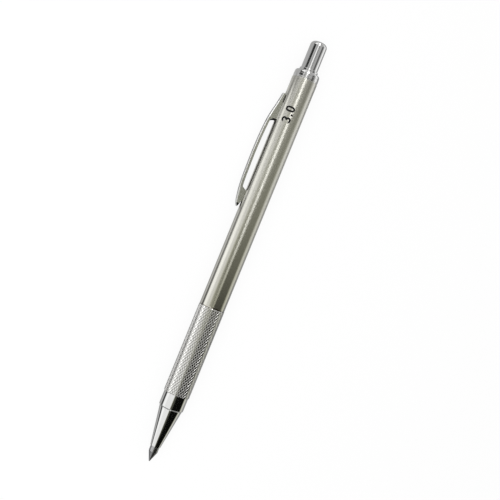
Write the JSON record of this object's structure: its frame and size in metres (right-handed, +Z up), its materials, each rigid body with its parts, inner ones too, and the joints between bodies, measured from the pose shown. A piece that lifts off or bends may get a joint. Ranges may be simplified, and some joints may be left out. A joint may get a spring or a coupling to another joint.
{
  "type": "push-button clutch pencil",
  "caption": "All-metal push-button clutch pencil for thick leads, with a conical nose, knurled grip, satin barrel, folded clip, sprung collet chuck and pull-off button.",
  "frame": {"origin": "on the table under the middle of the whole pencil's box, with the pencil lying on its grip and its clip", "axes": "+X from the button towards the lead's point, +Z up from the table, the clip on the -Y side and turned down to the table"},
  "size_m": [0.145, 0.0112, 0.0086],
  "materials": {
    "polished_chrome": "polished",
    "knurled_chrome": "satin",
    "satin_barrel": "satin",
    "brass": "satin",
    "spring_steel": "satin",
    "rubber": "matte",
    "graphite": "satin"
  },
  "bodies": {
    "barrel": {"grip": "knurled_chrome", "joint_bush": "brass", "barrel_tube": "satin_barrel", "rear_collar": "polished_chrome", "button_guide": "polished_chrome", "guide_sleeve": "brass", "return_spring": "spring_steel"},
    "feed_tube": {"lead_tube": "spring_steel", "chuck_stem": "brass", "tube_connector": "brass"},
    "jaw_1": {"chuck_jaw_1": "brass"},
    "jaw_2": {"chuck_jaw_2": "brass"},
    "jaw_3": {"chuck_jaw_3": "brass"},
    "ring": {"clutch_ring": "brass"},
    "lead": {"lead": "graphite"},
    "button": {"push_button": "polished_chrome"},
    "retainer": {"lead_retainer": "rubber"},
    "nose": {"nose_cone": "polished_chrome"},
    "clip": {"clip": "polished_chrome"}
  },
  "joints": [
    {"name": "button_press", "type": "slide", "parent": "barrel", "child": "feed_tube", "axis": [1, 0, 0], "range_m": [0, 0.003], "stiffness_N_per_m": 500, "springref_m": -0.006, "deforming": ["return_spring"]},
    {"name": "jaw_1_open", "type": "hinge", "parent": "feed_tube", "child": "jaw_1", "pos_m": [0.0455, 0.00005, 0.00374], "axis": [0, 0.4196, -0.9077], "range_deg": [0, 1.5]},
    {"name": "jaw_2_open", "type": "hinge", "parent": "feed_tube", "child": "jaw_2", "pos_m": [0.0455, 0.00144, 0.00572], "axis": [0, -0.9959, 0.0904], "range_deg": [0, 1.5]},
    {"name": "jaw_3_open", "type": "hinge", "parent": "feed_tube", "child": "jaw_3", "pos_m": [0.0455, 0.00246, 0.00352], "axis": [0, 0.5763, 0.8173], "range_deg": [0, 1.5]},
    {"name": "ring_shift", "type": "slide", "parent": "barrel", "child": "ring", "axis": [1, 0, 0], "range_m": [0, 0.001]},
    {"name": "lead_feed", "type": "slide", "parent": "barrel", "child": "lead", "axis": [1, 0, 0], "range_m": [-0.005, 0.06]},
    {"name": "button_pull", "type": "slide", "parent": "feed_tube", "child": "button", "axis": [-1, 0, 0], "range_m": [0, 0.014]},
    {"name": "nose_travel", "type": "slide", "parent": "barrel", "child": "retainer", "axis": [1, 0, 0], "range_m": [0, 0.0055]},
    {"name": "nose_turn", "type": "hinge", "parent": "retainer", "child": "nose", "pos_m": [0.0577, 0.00132, 0.00432], "axis": [1, 0, 0], "range_deg": [0, 3970]},
    {"name": "clip_flex", "type": "hinge", "parent": "barrel", "child": "clip", "pos_m": [-0.05, -0.00254, 0.00254], "axis": [0, 0.4196, -0.9077], "range_deg": [0, 4.5], "stiffness_Nm_per_rad": 3.2}
  ],
  "couplings": [
    {"joint": "jaw_1_open", "follows": "button_press", "rad_per_m": 8.72},
    {"joint": "jaw_2_open", "follows": "button_press", "rad_per_m": 8.72},
    {"joint": "jaw_3_open", "follows": "button_press", "rad_per_m": 8.72},
    {"joint": "ring_shift", "follows": "button_press", "ratio": 0.333},
    {"joint": "nose_turn", "follows": "nose_travel", "rad_per_m": 12566}
  ]
}
